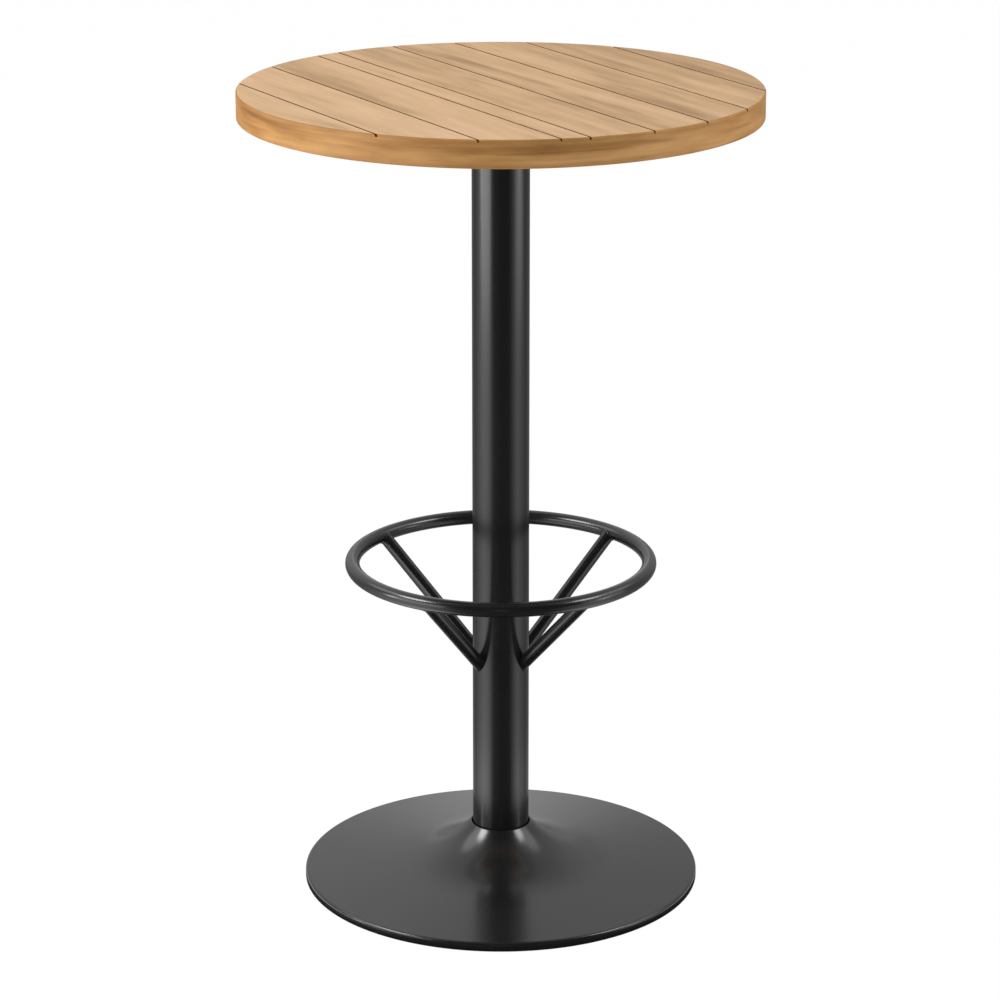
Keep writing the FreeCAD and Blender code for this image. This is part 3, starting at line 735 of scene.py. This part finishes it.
def closed_run(points, count):
    """Evenly spread points along a closed run through the given ones, smoothed a little."""
    lengths = [0.0]
    size = len(points)
    for index in range(size):
        lengths.append(lengths[-1] + (points[(index + 1) % size] - points[index]).length)
    result = []
    for step in range(count):
        target = lengths[-1] * step / count
        index = max(i for i in range(size) if lengths[i] <= target + NO_LENGTH)
        span = lengths[index + 1] - lengths[index]
        share = (target - lengths[index]) / span if span > NO_LENGTH else 0.0
        result.append(points[index].lerp(points[(index + 1) % size], share))
    for _ in range(WELD_PASSES):
        result = [(result[i - 1] + result[i] * 2 + result[(i + 1) % count]) / 4
                  for i in range(count)]
    return result


def weld_bead(name, path, axis_point, axis):
    """A rippled bead along a closed path."""
    count = len(path)
    verts, faces = [], []
    for index, point in enumerate(path):
        ahead = (path[(index + 1) % count] - path[index - 1]).normalized()
        arm = point - axis_point
        out = (arm - axis * arm.dot(axis)).normalized()
        up = ahead.cross(out).normalized()
        out = up.cross(ahead)
        swell = WELD_RADIUS * (1 + WELD_RIPPLE * math.sin(index * WELD_RIPPLE_TURN))
        for step in range(WELD_SIDES):
            turn = FULL_TURN * step / WELD_SIDES
            verts.append(point + out * math.cos(turn) * swell + up * math.sin(turn) * swell)
        faces += band(index * WELD_SIDES, (index + 1) % count * WELD_SIDES, WELD_SIDES)
    piece = new_piece(name, verts, faces, [powder], smooth=WELD_SMOOTH_ANGLE)
    return settle(piece, "table", "black_powder_coat")


def make_welds():
    """Beads where each strut meets the column and the foot ring."""
    ring_low, ring_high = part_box("foot_ring")
    bar = (ring_high.z - ring_low.z) / 2
    ring_z = (ring_high.z + ring_low.z) / 2
    ring_radius = ring_high.x - bar
    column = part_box("column_tube")[1].x

    def on_column(point):
        return abs(math.hypot(point.x, point.y) - column) < JOIN_REACH

    def on_ring(point):
        aside = math.hypot(point.x, point.y) - ring_radius
        return abs(math.hypot(aside, point.z - ring_z) - bar) < JOIN_REACH

    for corner in CORNERS:
        points = [v.co.copy() for v in NODES[f"strut_{corner}"].data.vertices]
        foot = [p for p in points if on_column(p)]
        head = [p for p in points if on_ring(p)]
        low = sum(foot, Vector()) / len(foot)
        high = sum(head, Vector()) / len(head)
        axis = (high - low).normalized()
        for end, test in (("column", on_column), ("ring", on_ring)):
            curve = end_curve(points, test, low, axis)
            if len(curve) > LEAST_CURVE:
                weld_bead(f"weld_{corner}_{end}", closed_run(curve, WELD_POINTS), low, axis)


def make_column():
    """The column tube with its turned ends."""
    low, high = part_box("column_tube")
    inner = high.x - TUBE_WALL
    ease = TUBE_WALL * TUBE_END_ROUND
    path = rounded_path([
        (high.x, low.z, ease),
        (high.x, high.z, ease),
        (inner, high.z, ease),
        (inner, low.z, ease),
    ], steps=3)
    piece = lathe("column", path, powder, COLUMN_SEGMENTS)
    settle(piece, "table", "black_powder_coat", "column_tube")


def make_foot_ring():
    """A true torus at the ring's place."""
    low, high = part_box("foot_ring")
    bar = (high.z - low.z) / 2
    middle = (high.x - bar, low.z + bar)
    path = [polar(bar, FULL_TURN * step / RING_SIDES, middle) for step in range(RING_SIDES)]
    piece = lathe("round_foot_ring", path, powder, RING_SEGMENTS)
    settle(piece, "table", "black_powder_coat", "foot_ring")


# The base

def make_base_cover():
    """Spun cover: rolled lip, trumpet curve, shallow cone, round corner and upright rim."""
    low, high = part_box("base_cover")
    skin = [(math.hypot(v.co.x, v.co.y), v.co.z) for v in NODES["base_cover"].data.vertices]
    neck = max(r for r, z in skin if z > high.z - FACE_REACH)
    outer = max(r for r, _ in skin)
    shoulder = max(z for r, z in skin if r > outer - OUTLINE_REACH) + COVER_BREAK
    centre = Vector((neck + FLARE_RADIUS * math.sin(NECK_SLOPE),
                     high.z + FLARE_RADIUS * math.cos(NECK_SLOPE)))
    # The cone touches the flare's curve and runs to the shoulder.
    across, down = outer - centre.x, centre.y - shoulder
    slope = math.atan2(down, across) - math.asin(FLARE_RADIUS / math.hypot(across, down))
    straight_down = math.pi * 1.5
    roll = SHEET / 2
    start = straight_down - NECK_SLOPE + roll / FLARE_RADIUS
    end = straight_down - slope

    def at(turn, radius):
        return centre + Vector((math.cos(turn), math.sin(turn))) * radius

    def flare(depth):
        """The curve at this depth below the skin: an arc, then an easing into the cone."""
        bend = end - FLARE_EASE
        turns = [start + (bend - start) * step / ARC_STEPS for step in range(ARC_STEPS + 1)]
        line = [tuple(at(turn, FLARE_RADIUS + depth)) for turn in turns]
        here = at(bend, FLARE_RADIUS)
        run = 2 * FLARE_EASE * FLARE_RADIUS / EASE_STEPS
        for step in range(EASE_STEPS):
            done = (step + 0.5) / EASE_STEPS
            turn = bend + FLARE_EASE * done * (2 - done)
            here = here + Vector((-math.sin(turn), math.cos(turn))) * run
            line.append(tuple(here + Vector((math.cos(turn), math.sin(turn))) * depth))
        return line

    outside = flare(0.0)
    rim = rounded_path([
        (*outside[-1], 0.0),
        (outer, shoulder, COVER_CORNER),
        (outer, low.z, roll / 2),
        (outer - SHEET, low.z, roll / 2),
    ], steps=CORNER_STEPS)[1:]
    cone_start = at(end, FLARE_RADIUS + SHEET)
    cone_run = (outer - SHEET - cone_start.x) / math.cos(slope)
    inner_corner = cone_start + Vector((math.cos(slope), -math.sin(slope))) * cone_run
    inside = [tuple(inner_corner)] + list(reversed(flare(SHEET)))
    middle = at(start, FLARE_RADIUS + roll)
    outward = Vector((math.cos(start), math.sin(start)))
    onward = Vector((math.sin(start), -math.cos(start)))
    turns = [math.pi * step / LIP_STEPS for step in range(1, LIP_STEPS)]
    lip = [tuple(middle + (outward * math.cos(t) + onward * math.sin(t)) * roll) for t in turns]
    piece = lathe("trumpet_base", outside + rim + inside + lip, powder, COVER_SEGMENTS)
    return settle(piece, "table", "black_powder_coat", "base_cover")


def make_glide_pads():
    """Moulded pads with a rounded upper edge and a small chamfer below."""
    for corner in CORNERS:
        low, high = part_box(f"glide_pad_{corner}")
        middle = (low + high) / 2
        radius = (high.x - low.x) / 2
        path = rounded_path([
            (0.0, low.z, 0.0),
            (radius, low.z, PAD_ROUND / 2),
            (radius, high.z, PAD_ROUND),
            (0.0, high.z, 0.0),
        ])
        pad = lathe(f"pad_{corner}", path, rubber, PAD_SEGMENTS)
        pad.data.transform(Matrix.Translation((middle.x, middle.y, 0.0)))
        settle(pad, f"pad_{corner}", "black_plastic", f"glide_pad_{corner}")


# Threads and fasteners

def thread_mesh(radius, low, high, place):
    """A threaded rod: rings whose radius follows a helix, with its ends tapered."""
    rows = max(2, round((high - low) / THREAD_PITCH * THREAD_ROWS))
    depth = THREAD_PITCH * THREAD_DEPTH
    verts = []
    for row in range(rows + 1):
        z = low + (high - low) * row / rows
        lead = min(1.0, (z - low) / THREAD_PITCH, (high - z) / THREAD_PITCH)
        for step in range(THREAD_SIDES):
            phase = ((z / THREAD_PITCH) - step / THREAD_SIDES) % 1.0
            groove = 1 - abs(phase * 2 - 1)
            r = radius - depth * (1 - lead * groove)
            verts.append((*polar(r, FULL_TURN * step / THREAD_SIDES, place), z))
    faces = [tuple(reversed(range(THREAD_SIDES)))]
    for row in range(rows):
        faces += band(row * THREAD_SIDES, (row + 1) * THREAD_SIDES, THREAD_SIDES, turned=True)
    faces.append(tuple(rows * THREAD_SIDES + step for step in range(THREAD_SIDES)))
    return verts, faces


def head_mesh(path, recess, depth, place, level, around):
    """A head below this level: rings along the (radius, height) path, then a recess."""
    rings = [([radius] * around, height) for radius, height in path]
    outline = [recess(FULL_TURN * step / around) for step in range(around)]
    last = path[-1][1]
    rings += [(outline, last), (outline, last - depth)]
    verts = [(*polar(radius, FULL_TURN * step / around, place), level - height)
             for ring, height in rings for step, radius in enumerate(ring)]
    faces = [tuple(range(around))]
    for row in range(len(rings) - 1):
        faces += band(row * around, (row + 1) * around, around, turned=True)
    faces.append(tuple((len(rings) - 1) * around + step for step in range(around)))
    return verts, faces


def hex_recess(across):
    """Outline of a hexagon socket, as a radius for each turn."""
    def radius(turn):
        return across / 2 / math.cos(turn % (FULL_TURN / 6) - FULL_TURN / 12)
    return radius


def star_recess(size):
    """Outline of a six-lobed socket, as a radius for each turn."""
    def radius(turn):
        return size * (1 + STAR_LOBE * math.cos(6 * turn))
    return radius


def join_meshes(parts):
    """One list of vertices and one of faces from several such pairs."""
    verts, faces = [], []
    for more_verts, more_faces in parts:
        start = len(verts)
        verts += more_verts
        faces += [tuple(start + index for index in face) for face in more_faces]
    return verts, faces


def on_boards(x, y):
    """A place in the boards' own directions, turned to the table's."""
    return tuple(Matrix.Rotation(BOARD_TURN, 2) @ Vector((x, y)))


def make_plate_bolts():
    """Socket-head bolts that hold the mounting plate to the battens."""
    low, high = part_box("plate_bolts")
    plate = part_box("top_plate")[0].z
    thick = plate - low.z
    edge = thick * BOLT_HEAD_ROUND
    inset = edge * BOLT_ROUND_MIDDLE
    path = [(BOLT_HEAD_RADIUS, 0.0), (BOLT_HEAD_RADIUS, thick - edge),
            (BOLT_HEAD_RADIUS - inset, thick - inset), (BOLT_HEAD_RADIUS - edge, thick)]
    socket = hex_recess(BOLT_RADIUS * BOLT_SOCKET)
    depth = thick * BOLT_SOCKET_DEPTH
    parts = []
    for x in (-BOLT_SPACING / 2, BOLT_SPACING / 2):
        for y in (-BOLT_SPACING / 2, BOLT_SPACING / 2):
            place = on_boards(x, y)
            parts.append(head_mesh(path, socket, depth, place, plate, BOLT_SIDES))
            parts.append(thread_mesh(BOLT_RADIUS, plate, high.z, place))
    piece = new_piece("socket_bolts", *join_meshes(parts), [steel])
    settle(piece, "table", "stainless", "plate_bolts")


def make_studs():
    """The glides' studs, each riding on its own body."""
    for corner in CORNERS:
        low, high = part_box(f"glide_stud_{corner}")
        middle = (low + high) / 2
        mesh = thread_mesh((high.x - low.x) / 2, low.z, high.z, (middle.x, middle.y))
        piece = new_piece(f"threaded_stud_{corner}", *mesh, [steel])
        settle(piece, f"stud_{corner}", "stainless", f"glide_stud_{corner}")


def screw_places():
    """Place and height of each screw: two under each batten for a board, and round the rim."""
    places = []
    plate_reach = max(p.x for p in turned_points("top_plate")) + SCREW_RADIUS
    batten = turned_points("batten_back")
    batten_level = min(p.z for p in batten)
    reach = max(p.x for p in batten) - SCREW_RADIUS * 2
    width = max(p.y for p in batten) - min(p.y for p in batten)
    for low, high in board_faces():
        middle = (low + high) / 2
        if plate_reach < abs(middle) < reach:
            for side in (-1, 1):
                for y in (BOLT_SPACING / 2 - width / 4, BOLT_SPACING / 2 + width / 4):
                    places.append((on_boards(middle, y * side), batten_level))
    rim_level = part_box("rim_segment_1")[0].z
    rim_middle = (rim_inner() + TOP_RADIUS) / 2
    step = FULL_TURN / RIM_COUNT
    for number in range(RIM_COUNT):
        for share in RIM_SCREWS:
            turn = BOARD_TURN + step * (number + share)
            places.append((polar(rim_middle, turn), rim_level))
    return places


def make_wood_screws():
    """Pan heads with a star recess, under the battens and the rim."""
    path = [(SCREW_RADIUS * math.cos(turn), SCREW_RADIUS * SCREW_DOME * math.sin(turn))
            for turn in map(math.radians, SCREW_DOME_TURNS)]
    socket = star_recess(SCREW_RADIUS * SCREW_SOCKET)
    depth = SCREW_RADIUS * SCREW_SOCKET_DEPTH
    parts = [head_mesh(path, socket, depth, place, level, SCREW_SIDES)
             for place, level in screw_places()]
    piece = new_piece("wood_screws", *join_meshes(parts), [steel])
    settle(piece, "table", "stainless")


# Looks of the nodes that keep their CAD shape

def dress_nodes():
    """Give each CAD node that shows its material."""
    finishes = {
        powder: ["top_plate", "plate_collar"] + [f"strut_{corner}" for corner in CORNERS],
        primer: ["base_plate", "column_spigot", "glide_bosses"],
        iron: ["ballast_ring"],
        steel: ["tie_rod", "tie_rod_nut"],
        batten_and_shade_teak: ["batten_front", "batten_back"],
        beech: ["rim_tenons"],
    }
    for material, names in finishes.items():
        for name in names:
            mesh = NODES[name].data
            mesh.materials.clear()
            mesh.materials.append(material)


# Stage

# The floor's brightness in reflections is painted light, FLOOR_GLARE times two shares: one by
# degrees round the table from the front, to the right, with painted pools of lamp light beside the
# table and painted shade in front, and one by distance from the middle, a painted shadow dark close
# to the base.
FLOOR_GLARE = 3.1
FLOOR_PAINTED_GLOW = ((-120, 0.14), (-95, 0.50), (-72, 0.95), (-52, 0.90), (-30, 0.10), (0, 0.04),
               (36, 0.05), (55, 0.45), (70, 0.70), (90, 0.40), (115, 0.14))
FLOOR_NEAR_SHADOW = ((0.285, 0.02), (0.305, 1.0), (0.42, 1.0), (0.60, 0.65))
# What the camera sees of the floor: a glow, and a faint surface that takes the shadow.
FLOOR_GLOW = 0.985
FLOOR_FAINT = 0.02
FLOOR_GREY = 0.80
FLOOR_HALF = 30.0
# The floor lies this far below the pads.
FLOOR_DROP = 0.0003
# Under the base, rays shorter than this pass the floor, so that the underside shows from below.
UNDERSIDE_REACH = 0.03

# The world's light on the object, and its brightness in reflections: behind, lean and rise
# multiplied, plus low behind times low down. Each goes smoothly from its first level to its second
# over a span of the direction's Y, X, Z, absolute X and Z.
ROOM_LIGHT = 0.57
ROOM_GREY = 0.8
WORLD_BEHIND = ((-0.45, 0.15), (0.03, 0.96))
WORLD_LEAN = ((-0.16, 0.12), (1.20, 0.90))
WORLD_RISE = ((0.15, 0.60), (0.66, 1.10))
WORLD_LOW_BEHIND = ((0.0, 0.12), (0.75, 0.0))
WORLD_LOW_DOWN = ((0.24, 0.42), (1.0, 0.0))

# Each lamp's turn in degrees from the front, to the right, distance from the column's axis, height,
# height on that axis that it faces, size, radiance and shape. Keys and fills light the object from
# the upper sides, a glint each side lights the foot ring, and two low panels show in the column.
LAMPS = {
    "key_left": (-78.0, 3.7, 3.9, 0.1, (2.0, 1.6), 15.6, "ELLIPSE"),
    "key_right": (78.0, 3.7, 3.9, 0.1, (1.8, 1.6), 10.4, "ELLIPSE"),
    "fill_left": (-108.0, 3.7, 3.3, 0.1, (2.2, 2.0), 2.0, "ELLIPSE"),
    "fill_right": (107.0, 3.7, 3.3, 0.1, (2.2, 2.0), 1.6, "ELLIPSE"),
    "glint_left": (-84.0, 4.0, 0.7, 0.46, (0.6, 0.9), 10.5, "ELLIPSE"),
    "glint_right": (78.0, 4.0, 0.7, 0.46, (0.6, 0.9), 6.5, "ELLIPSE"),
    "panel_left": (-62.0, 2.0, 0.85, 0.85, (1.6, 1.0), 3.1, "RECTANGLE"),
    "panel_right": (77.0, 2.0, 0.85, 0.85, (1.3, 1.0), 1.2, "RECTANGLE"),
}
# The share of its size that a lamp of each shape fills.
LAMP_FILL = {"RECTANGLE": 1.0, "ELLIPSE": math.pi / 4}

# The camera fitted to the photo. It looks down by its tilt, in degrees. Sensor and lens are in mm.
CAMERA_PLACE = (0.0, -4.5294, 1.96698)
CAMERA_TILT = 16.566
CAMERA_SENSOR = 36.0
CAMERA_LENS = 124.83
CAMERA_SHIFT = (-0.0008, -0.05)


def grey(level):
    """A neutral colour of this level."""
    return level, level, level


def make_floor():
    """White for the camera. In reflections it glows with painted light: dark in front, bright
    beside and grey behind, with a painted shadow close to the base.
    """
    graph = material_graph("white_floor")
    light = graph.add("ShaderNodeLightPath").outputs
    geometry = graph.add("ShaderNodeNewGeometry").outputs
    x, y, _ = graph.add("ShaderNodeSeparateXYZ", {0: geometry["Position"]}).outputs
    squares = graph.sum_of_squares(x, y)
    turn = graph.math("DIVIDE", turn_from_front(graph, x, y), FULL_TURN)
    lit = graph.ramp(graph.math("ADD", turn, 0.5),
                     [(degrees / 360 + 0.5, grey(level)) for degrees, level in FLOOR_PAINTED_GLOW])
    # A painted shadow of the base on the floor, seen in reflections.
    near = graph.ramp(graph.math("SQRT", squares),
                      [(distance, grey(level)) for distance, level in FLOOR_NEAR_SHADOW])

    def surface(kind, colour, **inputs):
        return graph.add(kind, {"Color": colour, **inputs}).outputs[0]

    matt = surface("ShaderNodeBsdfDiffuse", (*grey(FLOOR_GREY), 1.0))
    faint = surface("ShaderNodeBsdfDiffuse", (*grey(FLOOR_FAINT), 1.0))
    glow = surface("ShaderNodeEmission", (*grey(1.0), 1.0), Strength=FLOOR_GLOW)
    shown = graph.add("ShaderNodeAddShader", {0: faint, 1: glow}).outputs[0]
    glare = graph.math("MULTIPLY", near, FLOOR_GLARE)
    mirrored = surface("ShaderNodeEmission", lit, Strength=glare)
    straight = graph.math("MAXIMUM", light["Is Camera Ray"], light["Is Transmission Ray"])
    mixed = graph.mix(straight, graph.mix(light["Is Glossy Ray"], matt, mirrored), shown)
    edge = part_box("base_cover")[1].x - SHEET
    short = graph.math("LESS_THAN", light["Ray Length"], UNDERSIDE_REACH)
    within = graph.math("MULTIPLY", short, graph.math("LESS_THAN", squares, edge * edge))
    under = graph.math("SUBTRACT", within, light["Is Camera Ray"])
    passed = graph.math("MAXIMUM", geometry["Backfacing"], under)
    clear = graph.add("ShaderNodeBsdfTransparent").outputs[0]
    material = graph.finish(graph.mix(passed, mixed, clear))
    corners = ((-1, -1), (1, -1), (1, 1), (-1, 1))
    verts = [(side * FLOOR_HALF, end * FLOOR_HALF, -FLOOR_DROP) for side, end in corners]
    new_piece("studio_floor", verts, [(0, 1, 2, 3)], [material])


def make_world():
    """White for the camera. In reflections it is white behind the table and dark in front."""
    world = bpy.data.worlds.new("studio")
    bpy.context.scene.world = world
    graph = Graph(world)
    direction = graph.add("ShaderNodeTexCoord").outputs["Generated"]
    x, y, z = graph.add("ShaderNodeSeparateXYZ", {0: direction}).outputs

    def smooth(value, limits):
        return graph.map_range(value, *limits, interpolation="SMOOTHSTEP")

    def background(strength, shade):
        inputs = {"Color": (*grey(shade), 1.0), "Strength": strength}
        return graph.add("ShaderNodeBackground", inputs).outputs[0]

    wide = graph.math("MULTIPLY", smooth(y, WORLD_BEHIND), smooth(x, WORLD_LEAN))
    wide = graph.math("MULTIPLY", wide, smooth(z, WORLD_RISE))
    aside = graph.math("ABSOLUTE", x)
    low = graph.math("MULTIPLY", smooth(aside, WORLD_LOW_BEHIND), smooth(z, WORLD_LOW_DOWN))
    around = background(graph.math("ADD", wide, low), ROOM_GREY)
    white = background(1.0, 1.0)
    light = graph.add("ShaderNodeLightPath").outputs
    shown = graph.mix(light["Is Glossy Ray"], background(ROOM_LIGHT, ROOM_GREY), around)
    shown = graph.mix(light["Is Transmission Ray"], shown, white)
    shown = graph.mix(light["Is Camera Ray"], shown, white)
    graph.finish(shown, "ShaderNodeOutputWorld")


def make_lights():
    """Softboxes, each turned to face a point on the column's axis."""
    for name, (turn, distance, height, aim, size, radiance, shape) in LAMPS.items():
        lamp = bpy.data.lights.new(name, "AREA")
        lamp.shape = shape
        lamp.size, lamp.size_y = size
        lamp.energy = radiance * math.pi * size[0] * size[1] * LAMP_FILL[shape]
        holder = add_object(name, lamp)
        angle = math.radians(turn)
        holder.location = (math.sin(angle) * distance, -math.cos(angle) * distance, height)
        facing = Vector((0.0, 0.0, aim)) - holder.location
        holder.rotation_euler = facing.to_track_quat("-Z", "Y").to_euler()


def make_camera():
    """The camera at the photo's viewing angle."""
    camera = bpy.data.cameras.new("camera")
    camera.sensor_width = CAMERA_SENSOR
    camera.lens = CAMERA_LENS
    camera.shift_x, camera.shift_y = CAMERA_SHIFT
    holder = add_object("camera", camera)
    holder.location = CAMERA_PLACE
    holder.rotation_euler = (math.radians(90.0 - CAMERA_TILT), 0.0, 0.0)
    bpy.context.scene.camera = holder


make_boards()
make_rim()
make_plate_bolts()
make_wood_screws()
make_column()
make_foot_ring()
make_welds()
make_base_cover()
make_glide_pads()
make_studs()
dress_nodes()
make_floor()
make_world()
make_lights()
make_camera()
bpy.context.scene.view_settings.view_transform = "Standard"
